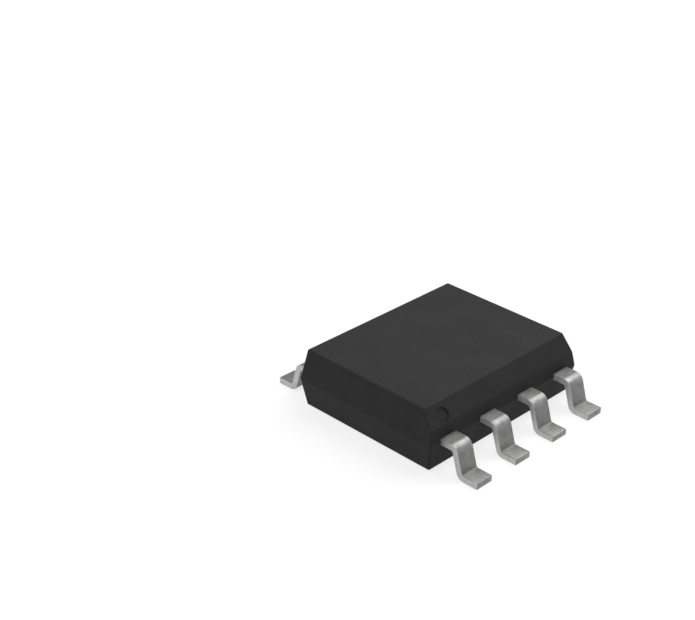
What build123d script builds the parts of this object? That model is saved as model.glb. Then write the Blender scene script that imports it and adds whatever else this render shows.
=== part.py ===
from build123d import *
from math import radians, tan
import os

# Operational amplifier in an eight-lead small-outline package, in millimetres.
# X runs along the body, Y across it towards the leads, Z up from the seating plane under the feet.
# Pin 1 is at -X, -Y, and the pins count counter-clockwise seen from above.

# Moulded body
BODY_LENGTH = 4.95
BODY_WIDTH = 3.95
BODY_HEIGHT = 1.43
STANDOFF = 0.02
PARTING_HEIGHT = 0.70
DRAFT_ANGLE = 9.5
BODY_EDGE_RADIUS = 0.05
BEVEL_SETBACK = 0.21
BEVEL_DROP = 0.41

# Pin 1 dimple, pressed into the bevel
DIMPLE_DIAMETER = 0.34
DIMPLE_DEPTH = 0.035
DIMPLE_WALL_ANGLE = 15.0
DIMPLE_FROM_END = 0.55
DIMPLE_DOWN_BEVEL = 0.30

# Gull-wing leads, outside the body
PINS_PER_ROW = 4
PIN_PITCH = 1.27
LEAD_SPAN = 6.00
LEAD_WIDTH = 0.48
LEAD_THICKNESS = 0.15
FOOT_LENGTH = 0.52
LEG_LEAN = 17.0
BEND_RADIUS = 0.06

# Lead fingers, inside the body
FINGER_GAP = 0.20
FINGER_CORNER_RADIUS = 0.05
HEAD_WIDTH = 0.80
HEAD_LENGTH = 0.35
PAD_WIDTH = 0.60
PAD_LENGTH = 0.65
PAD_TO_TIE_BAR = 0.30
STRAIGHT_INSIDE = 0.40
ANCHOR_HOLE_DIAMETER = 0.20

# Die paddle and its tie bars
PADDLE_LENGTH = 2.40
PADDLE_WIDTH = 1.70
PADDLE_CORNER_RADIUS = 0.10
PADDLE_DOWNSET = 0.12
TIE_BAR_WIDTH = 0.30
TIE_BAR_COVER = 0.10
TIE_BAR_LEVEL_RUN = 0.20
TIE_BAR_RISE_RUN = 0.15

# Die and the layer that holds it
DIE_LENGTH = 1.45
DIE_WIDTH = 1.15
DIE_THICKNESS = 0.25
ATTACH_MARGIN = 0.06
ATTACH_THICKNESS = 0.025

# Bond wires: the drawn wire and its ball are round, and so fine that few-sided polygons stand for them
WIRE_DIAMETER = 0.025
WIRE_SIDES = 6
BALL_DIAMETER = 0.07
BALL_HEIGHT = 0.018
BALL_SIDES = 12
LOOP_HEIGHT = 0.16
LOOP_RADIUS = 0.06
STITCH_LENGTH = 0.08
STITCH_WIDTH = 0.06
STITCH_THICKNESS = 0.008
BOND_PITCH = 0.40
BOND_FROM_DIE_EDGE = 0.09
BOND_FROM_FINGER_EDGE = 0.12

# Heights that follow from the sizes above
body_top = STANDOFF + BODY_HEIGHT
finger_top = PARTING_HEIGHT + LEAD_THICKNESS / 2
finger_under = PARTING_HEIGHT - LEAD_THICKNESS / 2
paddle_top = finger_top - PADDLE_DOWNSET
die_under = paddle_top + ATTACH_THICKNESS
die_top = die_under + DIE_THICKNESS

# Distances from the middle of the body that follow from the sizes above
head_end = PADDLE_WIDTH / 2 + FINGER_GAP
pad_end = TIE_BAR_WIDTH / 2 + PAD_TO_TIE_BAR
pad_start = pad_end + PAD_LENGTH
pad_near_side = PADDLE_LENGTH / 2 + FINGER_GAP
pad_far_side = pad_near_side + PAD_WIDTH
pad_middle = (pad_near_side + pad_far_side) / 2
turn_start = BODY_WIDTH / 2 - STRAIGHT_INSIDE
foot_end = LEAD_SPAN / 2
heel = foot_end - FOOT_LENGTH
knee = heel - finger_under * tan(radians(LEG_LEAN))

# Each row of pins has its own frame: x follows the pin numbers, y points into the body, z is up.
front_row = Plane(origin=(0, 0, 0), x_dir=(1, 0, 0), z_dir=(0, 0, 1))
back_row = Plane(origin=(0, 0, 0), x_dir=(-1, 0, 0), z_dir=(0, 0, 1))
pins = [(row, slot) for row in (front_row, back_row) for slot in range(PINS_PER_ROW)]

os.makedirs("parts", exist_ok=True)


def pin_offset(slot):
    """How far a lead's centre line lies from the middle of its row."""
    return (slot - (PINS_PER_ROW - 1) / 2) * PIN_PITCH


def row_end(slot):
    """-1 or 1 for the leads at the two ends of a row, and 0 for those between them."""
    return {0: -1, PINS_PER_ROW - 1: 1}.get(slot, 0)


def finger_bond_point(slot):
    """Where the bond wire lands on a lead's finger, in the frame of its row."""
    if row_end(slot):
        return row_end(slot) * (pad_near_side + BOND_FROM_FINGER_EDGE), -(pad_start + pad_end) / 2
    return pin_offset(slot), -head_end - BOND_FROM_FINGER_EDGE


def die_bond_point(slot):
    """Where the bond wire starts on the die, in the frame of its row."""
    return (slot - (PINS_PER_ROW - 1) / 2) * BOND_PITCH, BOND_FROM_DIE_EDGE - DIE_WIDTH / 2


def end_lead_plan(slot):
    """Plan of a lead at the end of a row: its finger turns in to a pad beside the paddle's end."""
    side = row_end(slot)
    outer_edge = pin_offset(slot) + side * LEAD_WIDTH / 2
    inner_edge = pin_offset(slot) - side * LEAD_WIDTH / 2
    hole_place = ((pin_offset(slot) + side * pad_middle) / 2, -(turn_start + pad_start) / 2)
    with BuildSketch() as plan:
        with BuildLine():
            Polyline(
                (outer_edge, -foot_end),
                (outer_edge, -turn_start),
                (side * pad_far_side, -pad_start),
                (side * pad_far_side, -pad_end),
                (side * pad_near_side, -pad_end),
                (side * pad_near_side, -pad_start),
                (inner_edge, -turn_start),
                (inner_edge, -foot_end),
                close=True,
            )
        make_face()
        fillet(plan.vertices().filter_by_position(Axis.Y, -BODY_WIDTH / 2, 0), FINGER_CORNER_RADIUS)
        with Locations(hole_place):
            Circle(ANCHOR_HOLE_DIAMETER / 2, mode=Mode.SUBTRACT)
    return plan.sketch


def middle_lead_plan(slot):
    """Plan of a lead inside a row: its finger ends in a wide head that anchors it in the mould."""
    with BuildSketch() as plan:
        with Locations((pin_offset(slot), -foot_end)):
            Rectangle(LEAD_WIDTH, foot_end - head_end, align=(Align.CENTER, Align.MIN))
        with Locations((pin_offset(slot), -head_end)):
            Rectangle(HEAD_WIDTH, HEAD_LENGTH, align=(Align.CENTER, Align.MAX))
        fillet(plan.vertices().filter_by_position(Axis.Y, -BODY_WIDTH / 2, 0), FINGER_CORNER_RADIUS)
    return plan.sketch


def make_lead(row, slot):
    """One lead: the formed strip seen from its side, trimmed to its outline in plan."""
    side_view = Plane(origin=row.origin, x_dir=row.y_dir, z_dir=row.x_dir)
    with BuildPart() as lead:
        with BuildSketch(side_view):
            with BuildLine():
                FilletPolyline(
                    (-foot_end, 0),
                    (-heel, 0),
                    (-knee, finger_under),
                    (0, finger_under),
                    radius=(BEND_RADIUS + LEAD_THICKNESS, BEND_RADIUS),
                )
                offset(amount=LEAD_THICKNESS, side=Side.LEFT)
            make_face()
        extrude(amount=BODY_LENGTH / 2, both=True)
        with BuildSketch(row):
            add(end_lead_plan(slot) if row_end(slot) else middle_lead_plan(slot))
        extrude(amount=body_top, mode=Mode.INTERSECT)
    return lead.part


def make_bond_wire(row, slot):
    """One bond wire: a ball on the die, a loop down to the finger, and a flat stitch there."""
    start = row.from_local_coords(Vector(*die_bond_point(slot), die_top))
    landing = row.from_local_coords(Vector(*finger_bond_point(slot), finger_top))
    across = Vector(landing.X - start.X, landing.Y - start.Y, 0)
    run = across.length
    tail_height = finger_top - die_top + STITCH_THICKNESS / 2 + WIRE_DIAMETER / 2
    loop_view = Plane(origin=start, x_dir=across, z_dir=across.cross(Vector(0, 0, 1)))
    with BuildPart() as wire:
        with BuildLine(loop_view) as loop:
            FilletPolyline(
                (0, BALL_HEIGHT / 2),
                (0, LOOP_HEIGHT),
                (run - STITCH_LENGTH / 2, tail_height),
                (run, tail_height),
                radius=LOOP_RADIUS,
            )
        with BuildSketch(Plane(origin=loop.line @ 0, x_dir=loop_view.z_dir, z_dir=loop.line % 0)):
            RegularPolygon(WIRE_DIAMETER / 2, WIRE_SIDES, rotation=180 / WIRE_SIDES)
        sweep(path=loop.line)
        with BuildSketch(Plane(origin=start)):
            RegularPolygon(BALL_DIAMETER / 2, BALL_SIDES)
        extrude(amount=BALL_HEIGHT)
        with BuildSketch(Plane(origin=landing, x_dir=across)):
            Rectangle(STITCH_LENGTH, STITCH_WIDTH)
        extrude(amount=STITCH_THICKNESS)
    return wire.part


# Die paddle, set down below the fingers, with a tie bar that climbs to the fingers' level at each end
tie_bar_end = BODY_LENGTH / 2 - TIE_BAR_COVER
rise_start = PADDLE_LENGTH / 2 + TIE_BAR_LEVEL_RUN
rise_end = rise_start + TIE_BAR_RISE_RUN
paddle_under = paddle_top - LEAD_THICKNESS

with BuildPart() as die_paddle:
    with BuildSketch(Plane.XZ):
        with BuildLine() as strip_edge:
            Polyline(
                (-tie_bar_end, finger_under),
                (-rise_end, finger_under),
                (-rise_start, paddle_under),
                (rise_start, paddle_under),
                (rise_end, finger_under),
                (tie_bar_end, finger_under),
            )
            offset(amount=LEAD_THICKNESS, side=Side.LEFT, kind=Kind.INTERSECTION)
        make_face()
    extrude(amount=PADDLE_WIDTH / 2, both=True)
    with BuildSketch() as paddle_plan:
        Rectangle(PADDLE_LENGTH, PADDLE_WIDTH)
        fillet(paddle_plan.vertices(), PADDLE_CORNER_RADIUS)
        Rectangle(2 * tie_bar_end, TIE_BAR_WIDTH)
    extrude(amount=body_top, mode=Mode.INTERSECT)

# Die attach, squeezed out a little past the die all round
with BuildPart() as die_attach:
    with BuildSketch(Plane.XY.offset(paddle_top)):
        RectangleRounded(DIE_LENGTH + 2 * ATTACH_MARGIN, DIE_WIDTH + 2 * ATTACH_MARGIN, ATTACH_MARGIN)
    extrude(amount=ATTACH_THICKNESS)

# Die, sawn from its wafer
with BuildPart() as die:
    with BuildSketch(Plane.XY.offset(die_under)):
        Rectangle(DIE_LENGTH, DIE_WIDTH)
    extrude(amount=DIE_THICKNESS)

leads = [make_lead(row, slot) for row, slot in pins]
bond_wires = [make_bond_wire(row, slot) for row, slot in pins]

# Upper and lower halves of the mould cavity, which meet at the parting plane
with BuildPart() as upper_half:
    with BuildSketch(Plane.XY.offset(PARTING_HEIGHT)):
        Rectangle(BODY_LENGTH, BODY_WIDTH)
    extrude(amount=body_top - PARTING_HEIGHT, taper=DRAFT_ANGLE)
    top_edge = upper_half.faces().sort_by(Axis.Z)[-1].edges().sort_by(Axis.Y)[0]
    bevel_crest = top_edge.center() + Vector(0, BEVEL_SETBACK, 0)
    bevel_foot_y = -BODY_WIDTH / 2 + (body_top - BEVEL_DROP - PARTING_HEIGHT) * tan(radians(DRAFT_ANGLE))
    bevel_foot = Vector(0, bevel_foot_y, body_top - BEVEL_DROP)
    bevel_slope = bevel_foot - bevel_crest
    with BuildSketch(Plane.YZ):
        with BuildLine():
            Polyline(
                (bevel_foot.Y, bevel_foot.Z),
                (bevel_crest.Y, bevel_crest.Z),
                (-BODY_WIDTH / 2, body_top),
                close=True,
            )
        make_face()
    extrude(amount=BODY_LENGTH / 2, both=True, mode=Mode.SUBTRACT)
    parting_edges = upper_half.faces().sort_by(Axis.Z)[0].edges()
    fillet(upper_half.edges() - parting_edges, BODY_EDGE_RADIUS)

with BuildPart() as lower_half:
    with BuildSketch(Plane.XY.offset(PARTING_HEIGHT)):
        Rectangle(BODY_LENGTH, BODY_WIDTH)
    extrude(amount=STANDOFF - PARTING_HEIGHT, taper=DRAFT_ANGLE)
    parting_edges = lower_half.faces().sort_by(Axis.Z)[-1].edges()
    fillet(lower_half.edges() - parting_edges, BODY_EDGE_RADIUS)

# Moulded body, with the dimple pressed in and every piece that it is moulded round left out of it
dimple_middle = bevel_crest + bevel_slope.normalized() * DIMPLE_DOWN_BEVEL
bevel_plane = Plane(
    origin=(DIMPLE_FROM_END - BODY_LENGTH / 2, dimple_middle.Y, dimple_middle.Z),
    x_dir=(1, 0, 0),
    z_dir=bevel_slope.cross(Vector(1, 0, 0)),
)

with BuildPart() as body:
    add(upper_half.part)
    add(lower_half.part)
    with BuildSketch(bevel_plane):
        Circle(DIMPLE_DIAMETER / 2)
    extrude(amount=-DIMPLE_DEPTH, taper=DIMPLE_WALL_ANGLE, mode=Mode.SUBTRACT)
    add([*leads, *bond_wires, die_paddle.part, die_attach.part, die.part], mode=Mode.SUBTRACT)

# Names and files
body.part.label = "body"
export_step(body.part, "parts/body.step")

die_paddle.part.label = "die_paddle"
export_step(die_paddle.part, "parts/die_paddle.step")

die_attach.part.label = "die_attach"
export_step(die_attach.part, "parts/die_attach.step")

die.part.label = "die"
export_step(die.part, "parts/die.step")

for number, (lead, bond_wire) in enumerate(zip(leads, bond_wires), start=1):
    lead.label = f"lead_{number}"
    export_step(lead, f"parts/lead_{number}.step")
    bond_wire.label = f"bond_wire_{number}"
    export_step(bond_wire, f"parts/bond_wire_{number}.step")
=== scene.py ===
from math import cos, pi, radians, sin

import bmesh
import bpy
from mathutils import Matrix, Vector


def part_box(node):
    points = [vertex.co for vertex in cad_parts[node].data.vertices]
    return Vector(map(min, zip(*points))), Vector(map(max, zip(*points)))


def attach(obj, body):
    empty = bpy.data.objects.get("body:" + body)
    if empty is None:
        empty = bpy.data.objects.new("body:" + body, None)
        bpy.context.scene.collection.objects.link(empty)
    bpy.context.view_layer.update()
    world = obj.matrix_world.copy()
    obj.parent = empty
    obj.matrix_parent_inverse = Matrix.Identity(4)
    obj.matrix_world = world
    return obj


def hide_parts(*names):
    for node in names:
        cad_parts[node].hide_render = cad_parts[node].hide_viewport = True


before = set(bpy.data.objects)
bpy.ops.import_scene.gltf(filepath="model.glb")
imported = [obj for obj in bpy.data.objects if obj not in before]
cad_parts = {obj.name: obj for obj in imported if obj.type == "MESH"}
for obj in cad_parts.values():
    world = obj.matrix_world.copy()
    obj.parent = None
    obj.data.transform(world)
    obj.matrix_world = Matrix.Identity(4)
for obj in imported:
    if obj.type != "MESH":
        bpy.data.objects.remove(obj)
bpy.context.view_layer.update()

MM = 0.001

# Camera, its angles in degrees
IMAGE_WIDTH = 695
FOCAL_PIXELS = 1436.4
SENSOR_WIDTH_MM = 36.0
CAMERA_AZIMUTH = -45.28
CAMERA_ELEVATION = 28.12
CAMERA_DISTANCE = 34.90 * MM
CAMERA_TARGET = Vector((0.46, 3.39, 0.80)) * MM
CAMERA_ROLL = 0.59
CLIP_START = 1 * MM
CLIP_END = 4.0

# Table, as it lights the part and as it is seen
FLOOR_SIZE = 1.2
FLOOR_ALBEDO = (0.80, 0.80, 0.80, 1)
FLOOR_SEEN_ALBEDO = (0.26, 0.26, 0.26, 1)
FLOOR_SEEN_GLOW = 0.76

# Room, a white dome that is brightest on the side of the window and dim on the other, and as it is seen
WHITE = (1, 1, 1, 1)
WINDOW_SIDE = Vector((-0.18, 0.12, 0.95))
ROOM_BRIGHT = 0.50
ROOM_DIM = 0.05
ROOM_SEEN = 0.8

# Softboxes, their angles in degrees; the level is the brightness that each gives a white card
SOFTBOX_DISTANCE = 180 * MM
SOFTBOXES = {
    "key": dict(azimuth=-92, elevation=56, width=120 * MM, level=0.32),
    "rim": dict(azimuth=80, elevation=54, width=156 * MM, level=0.76),
}

# Surface grain: the detail of its two noises, and the part of a noise that a colour or a value is spread over
GRAIN_GROUP = "Surface grain"
GRAIN_DETAIL = 3.0
MOTTLE_DETAIL = 4.0
MASK_LOW = 0.3
MASK_HIGH = 0.7

# Leads
FRONT_LEADS = (1, 2, 3, 4)
BACK_LEADS = (5, 6, 7, 8)
LEAD_EDGE_RADIUS = 0.022 * MM
LEAD_EDGE_SEGMENTS = 3
MERGE_DISTANCE = 0.0005 * MM
FLAT_ANGLE = radians(1)
SHARP_ANGLE = radians(50)

# How the faces of a lead are told apart: the least x of a side's normal, and the least and most z of a bend's
SIDE_NORMAL_X = 0.99
BEND_NORMAL_Z = (0.35, 0.98)

# The finishes of a lead, in the order of its material slots; the finish of the sides and the one over the
# outer bend are lighter copies of the plating: painted light and a painted highlight
PLATED, LIT_SIDE, SHEARED, PRESSED, LIT_CREST = range(5)

# The grain of rolled and plated strip, and how a cut draws the grain of a lead's sides and end out along z
STRIP_GRAIN = dict(grains=18.0, mottles=7.0, relief=0.60, height=0.004)
CUT_STRETCH = (1.0, 1.0, 0.4)


def direction(azimuth, elevation):
    """The way from the part towards an azimuth, counted from the front, and an elevation."""
    around, up = radians(azimuth), radians(elevation)
    return Vector((sin(around) * cos(up), -cos(around) * cos(up), sin(up)))


def facing_back(towards):
    """The turn that points a camera or a lamp standing that way back at the part."""
    return towards.to_track_quat("Z", "Y").to_matrix().to_4x4()


def place_camera():
    """The camera stands where the photograph was taken from."""
    back = direction(CAMERA_AZIMUTH, CAMERA_ELEVATION)
    data = bpy.data.cameras.new("camera")
    data.sensor_width = SENSOR_WIDTH_MM
    data.lens = FOCAL_PIXELS * SENSOR_WIDTH_MM / IMAGE_WIDTH
    data.clip_start = CLIP_START
    data.clip_end = CLIP_END
    camera = bpy.data.objects.new("camera", data)
    bpy.context.scene.collection.objects.link(camera)
    turn = facing_back(back) @ Matrix.Rotation(radians(CAMERA_ROLL), 4, "Z")
    camera.matrix_world = Matrix.Translation(CAMERA_TARGET + back * CAMERA_DISTANCE) @ turn
    bpy.context.scene.camera = camera


def softbox(name, azimuth, elevation, width, level):
    """A square area lamp that lights a white card facing it, at the part, to the given level."""
    towards = direction(azimuth, elevation)
    data = bpy.data.lights.new(name, "AREA")
    data.size = width
    data.energy = level * (pi * SOFTBOX_DISTANCE) ** 2
    lamp = bpy.data.objects.new(name, data)
    bpy.context.scene.collection.objects.link(lamp)
    lamp.matrix_world = Matrix.Translation(towards * SOFTBOX_DISTANCE) @ facing_back(towards)


def new_material(name):
    """An empty node material with its Principled shader, and the tree to add to."""
    material = bpy.data.materials.new(name)
    material.use_nodes = True
    tree = material.node_tree
    return material, tree, tree.nodes["Principled BSDF"]


def build_grain_group():
    """Grain on Object coordinates: a fine mask and a mottled one, and the normal that the fine one gives."""
    group = bpy.data.node_groups.new(GRAIN_GROUP, "ShaderNodeTree")
    sockets = (
        ("Grains per mm", "INPUT", "Float", 20.0),
        ("Mottles per mm", "INPUT", "Float", 1.5),
        ("Relief", "INPUT", "Float", 0.3),
        ("Height mm", "INPUT", "Float", 0.004),
        ("Stretch", "INPUT", "Vector", (1, 1, 1)),
        ("Grain", "OUTPUT", "Float", None),
        ("Mottle", "OUTPUT", "Float", None),
        ("Normal", "OUTPUT", "Vector", None),
    )
    for name, way, kind, default in sockets:
        socket = group.interface.new_socket(name=name, in_out=way, socket_type=f"NodeSocket{kind}")
        if default is not None:
            socket.default_value = default
    nodes, link = group.nodes, group.links.new
    given = nodes.new("NodeGroupInput")
    out = nodes.new("NodeGroupOutput")
    place = nodes.new("ShaderNodeTexCoord")
    in_mm = nodes.new("ShaderNodeVectorMath")
    in_mm.operation = "SCALE"
    in_mm.inputs["Scale"].default_value = 1 / MM
    stretch = nodes.new("ShaderNodeVectorMath")
    stretch.operation = "MULTIPLY"
    link(place.outputs["Object"], in_mm.inputs[0])
    link(in_mm.outputs[0], stretch.inputs[0])
    link(given.outputs["Stretch"], stretch.inputs[1])
    grain = nodes.new("ShaderNodeTexNoise")
    mottle = nodes.new("ShaderNodeTexNoise")
    grain.inputs["Detail"].default_value = GRAIN_DETAIL
    mottle.inputs["Detail"].default_value = MOTTLE_DETAIL
    for texture, scale in ((grain, "Grains per mm"), (mottle, "Mottles per mm")):
        link(stretch.outputs[0], texture.inputs["Vector"])
        link(given.outputs[scale], texture.inputs["Scale"])
    height = nodes.new("ShaderNodeMath")
    height.operation = "MULTIPLY"
    height.inputs[1].default_value = MM
    link(given.outputs["Height mm"], height.inputs[0])
    bump = nodes.new("ShaderNodeBump")
    link(given.outputs["Relief"], bump.inputs["Strength"])
    link(height.outputs[0], bump.inputs["Distance"])
    link(grain.outputs["Fac"], bump.inputs["Height"])
    link(grain.outputs["Fac"], out.inputs["Grain"])
    link(mottle.outputs["Fac"], out.inputs["Mottle"])
    link(bump.outputs["Normal"], out.inputs["Normal"])


def add_grain(tree, grains, mottles, relief, height, stretch=(1, 1, 1)):
    """Places the grain group in a material, with its own values."""
    node = tree.nodes.new("ShaderNodeGroup")
    node.node_tree = bpy.data.node_groups[GRAIN_GROUP]
    node.inputs["Grains per mm"].default_value = grains
    node.inputs["Mottles per mm"].default_value = mottles
    node.inputs["Relief"].default_value = relief
    node.inputs["Height mm"].default_value = height
    node.inputs["Stretch"].default_value = stretch
    return node


def spread(tree, mask, low, high):
    """A value that goes from low to high over the middle of a noise mask."""
    node = tree.nodes.new("ShaderNodeMapRange")
    node.inputs["From Min"].default_value = MASK_LOW
    node.inputs["From Max"].default_value = MASK_HIGH
    node.inputs["To Min"].default_value = low
    node.inputs["To Max"].default_value = high
    tree.links.new(mask, node.inputs["Value"])
    return node.outputs["Result"]


def blend_colours(tree, mask, first, second):
    """A colour that goes from the first to the second over the middle of a noise mask."""
    node = tree.nodes.new("ShaderNodeValToRGB")
    start, end = node.color_ramp.elements
    start.position = MASK_LOW
    start.color = (*first, 1)
    end.position = MASK_HIGH
    end.color = (*second, 1)
    tree.links.new(mask, node.inputs["Fac"])
    return node.outputs["Color"]


def finish_material(name, colours, roughness, metallic, grain, specular=0.5):
    """A material whose colour, roughness and relief all come from the shared surface grain."""
    material, tree, shader = new_material(name)
    texture = add_grain(tree, **grain)
    link = tree.links.new
    link(blend_colours(tree, texture.outputs["Mottle"], *colours), shader.inputs["Base Color"])
    link(spread(tree, texture.outputs["Grain"], *roughness), shader.inputs["Roughness"])
    link(texture.outputs["Normal"], shader.inputs["Normal"])
    shader.inputs["Metallic"].default_value = metallic
    shader.inputs["Specular IOR Level"].default_value = specular
    return material


def ray_is_seen(tree):
    """1 for a ray that shows the background, straight, reflected or through glass, and 0 for light."""
    path = tree.nodes.new("ShaderNodeLightPath")
    total = path.outputs["Is Camera Ray"]
    for kind in ("Is Glossy Ray", "Is Transmission Ray"):
        either = tree.nodes.new("ShaderNodeMath")
        either.operation = "MAXIMUM"
        tree.links.new(total, either.inputs[0])
        tree.links.new(path.outputs[kind], either.inputs[1])
        total = either.outputs[0]
    return total


def make_floor():
    """A plain table that is seen as near white, also in a reflection, and keeps the part's shadow."""
    mesh = bpy.data.meshes.new("floor")
    build = bmesh.new()
    bmesh.ops.create_grid(build, x_segments=1, y_segments=1, size=FLOOR_SIZE / 2)
    build.to_mesh(mesh)
    build.free()
    floor = bpy.data.objects.new("floor", mesh)
    bpy.context.scene.collection.objects.link(floor)
    material, tree, shader = new_material("white table")
    tree.nodes.remove(shader)
    nodes, link = tree.nodes, tree.links.new
    card = nodes.new("ShaderNodeBsdfDiffuse")
    seen = nodes.new("ShaderNodeBsdfDiffuse")
    glow = nodes.new("ShaderNodeEmission")
    both = nodes.new("ShaderNodeAddShader")
    pick = nodes.new("ShaderNodeMixShader")
    card.inputs["Color"].default_value = FLOOR_ALBEDO
    seen.inputs["Color"].default_value = FLOOR_SEEN_ALBEDO
    glow.inputs["Strength"].default_value = FLOOR_SEEN_GLOW
    link(seen.outputs[0], both.inputs[0])
    link(glow.outputs[0], both.inputs[1])
    link(ray_is_seen(tree), pick.inputs["Fac"])
    link(card.outputs[0], pick.inputs[1])
    link(both.outputs[0], pick.inputs[2])
    link(pick.outputs[0], nodes["Material Output"].inputs["Surface"])
    mesh.materials.append(material)


def make_room():
    """Soft light from all round, brightest on the window's side; the room is seen as a plain pale wall."""
    world = bpy.data.worlds.new("room")
    bpy.context.scene.world = world
    world.use_nodes = True
    tree = world.node_tree
    nodes, link = tree.nodes, tree.links.new
    way = nodes.new("ShaderNodeTexCoord")
    facing = nodes.new("ShaderNodeVectorMath")
    facing.operation = "DOT_PRODUCT"
    facing.inputs[1].default_value = WINDOW_SIDE.normalized()
    level = nodes.new("ShaderNodeMapRange")
    level.interpolation_type = "SMOOTHSTEP"
    level.inputs["To Min"].default_value = ROOM_DIM
    level.inputs["To Max"].default_value = ROOM_BRIGHT
    link(way.outputs["Generated"], facing.inputs[0])
    link(facing.outputs["Value"], level.inputs["Value"])
    light = nodes["Background"]
    seen = nodes.new("ShaderNodeBackground")
    pick = nodes.new("ShaderNodeMixShader")
    light.inputs["Color"].default_value = WHITE
    seen.inputs["Color"].default_value = WHITE
    seen.inputs["Strength"].default_value = ROOM_SEEN
    link(level.outputs["Result"], light.inputs["Strength"])
    link(ray_is_seen(tree), pick.inputs["Fac"])
    link(light.outputs[0], pick.inputs[1])
    link(seen.outputs[0], pick.inputs[2])
    link(pick.outputs[0], nodes["World Output"].inputs["Surface"])


def lead_finish(face, tip, middle_height):
    """The finish of one face of a lead, told by where it lies and which way it faces; the sides and the outer
    bend get lighter copies of the plating, painted light.
    """
    middle = face.calc_center_median()
    if abs(middle.y - tip) < MERGE_DISTANCE:
        return SHEARED
    # The sides get a copy of the plating more than twice as light: painted light on the lead's sides.
    if abs(face.normal.x) > SIDE_NORMAL_X:
        return LIT_SIDE
    # Bend faces above the middle, over the outer bend, get a lighter copy of the plating, a painted
    # highlight; those below get a rougher plating.
    if BEND_NORMAL_Z[0] < face.normal.z < BEND_NORMAL_Z[1]:
        return PRESSED if middle.z < middle_height else LIT_CREST
    return PLATED


def soften_lead(number, finishes):
    """The lead with the edges left by stamping rounded, from a merged copy of the plain one."""
    name = f"lead_{number}"
    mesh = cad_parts[name].data.copy()
    mesh.name = f"plated_{name}"
    mesh.materials.clear()
    for finish in finishes:
        mesh.materials.append(finish)
    low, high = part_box(name)
    tip = low.y if number in FRONT_LEADS else high.y
    build = bmesh.new()
    build.from_mesh(mesh)
    bmesh.ops.remove_doubles(build, verts=build.verts, dist=MERGE_DISTANCE)
    bmesh.ops.dissolve_limit(build, angle_limit=FLAT_ANGLE, verts=build.verts, edges=build.edges)
    build.normal_update()
    for face in build.faces:
        face.material_index = lead_finish(face, tip, (low.z + high.z) / 2)
        face.smooth = True
    sharp = [edge for edge in build.edges if edge.is_manifold and edge.calc_face_angle() > SHARP_ANGLE]
    bmesh.ops.bevel(
        build, geom=sharp, offset=LEAD_EDGE_RADIUS, offset_type="OFFSET", segments=LEAD_EDGE_SEGMENTS,
        profile=0.5, affect="EDGES", material=-1, clamp_overlap=True,
    )
    bmesh.ops.recalc_face_normals(build, faces=build.faces)
    build.to_mesh(mesh)
    build.free()
    piece = bpy.data.objects.new(f"plated_{name}", mesh)
    bpy.context.scene.collection.objects.link(piece)
    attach(piece, "root")
    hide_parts(name)


def paint(material, name):
    """Gives a CAD piece that keeps its shape its finish."""
    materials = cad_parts[name].data.materials
    materials.clear()
    materials.append(material)


bpy.context.scene.view_settings.view_transform = "Standard"

place_camera()
make_floor()
make_room()
for name, setting in SOFTBOXES.items():
    softbox(name, **setting)

build_grain_group()
mould = finish_material(
    "mould compound",
    colours=((0.022, 0.022, 0.0232), (0.027, 0.027, 0.0282)),
    roughness=(0.50, 0.66),
    metallic=0.0,
    grain=dict(grains=22.0, mottles=1.2, relief=0.35, height=0.004),
    specular=0.10,
)
plating = finish_material(
    "tin plating",
    colours=((0.178, 0.178, 0.178), (0.238, 0.238, 0.234)),
    roughness=(0.40, 0.52),
    metallic=1.0,
    grain=STRIP_GRAIN,
)
# The lead's sides: tin plating more than twice as light as on the faces, which is painted light; the grain
# drawn out along z is the cut's own.
sides_painted_lighter = finish_material(
    "tin plating on a side, painted lighter",
    colours=((0.44, 0.44, 0.44), (0.53, 0.53, 0.524)),
    roughness=(0.50, 0.62),
    metallic=1.0,
    grain=dict(grains=26.0, mottles=6.0, relief=0.50, height=0.004, stretch=CUT_STRETCH),
)
sheared = finish_material(
    "sheared lead end",
    colours=((0.180, 0.178, 0.174), (0.300, 0.296, 0.290)),
    roughness=(0.42, 0.58),
    metallic=1.0,
    grain=dict(grains=24.0, mottles=12.0, relief=0.5, height=0.004, stretch=CUT_STRETCH),
)
pressed = finish_material(
    "tin plating pressed in a bend",
    colours=((0.185, 0.185, 0.185), (0.222, 0.222, 0.218)),
    roughness=(0.62, 0.72),
    metallic=1.0,
    grain=STRIP_GRAIN,
)
# Over the outer bend: a lighter copy of the plating, a painted highlight that widens the sheen on the crest.
crest_painted_highlight = finish_material(
    "tin plating over a bend, painted lighter",
    colours=((0.205, 0.205, 0.205), (0.295, 0.295, 0.290)),
    roughness=(0.42, 0.54),
    metallic=1.0,
    grain=STRIP_GRAIN,
)
copper = finish_material(
    "bare copper alloy",
    colours=((0.62, 0.36, 0.24), (0.72, 0.45, 0.32)),
    roughness=(0.30, 0.42),
    metallic=1.0,
    grain=dict(grains=26.0, mottles=3.0, relief=0.3, height=0.003),
)
epoxy = finish_material(
    "silver-filled epoxy",
    colours=((0.46, 0.46, 0.44), (0.56, 0.56, 0.54)),
    roughness=(0.45, 0.60),
    metallic=0.4,
    grain=dict(grains=40.0, mottles=8.0, relief=0.6, height=0.004),
)
silicon = finish_material(
    "polished silicon",
    colours=((0.13, 0.14, 0.17), (0.17, 0.18, 0.21)),
    roughness=(0.12, 0.20),
    metallic=0.6,
    grain=dict(grains=12.0, mottles=3.0, relief=0.1, height=0.001),
)
gold = finish_material(
    "drawn gold",
    colours=((0.88, 0.64, 0.27), (0.95, 0.74, 0.36)),
    roughness=(0.20, 0.30),
    metallic=1.0,
    grain=dict(grains=60.0, mottles=20.0, relief=0.2, height=0.001),
)

paint(mould, "body")
paint(copper, "die_paddle")
paint(epoxy, "die_attach")
paint(silicon, "die")
for number in FRONT_LEADS + BACK_LEADS:
    paint(gold, f"bond_wire_{number}")
    soften_lead(number, (plating, sides_painted_lighter, sheared, pressed, crest_painted_highlight))
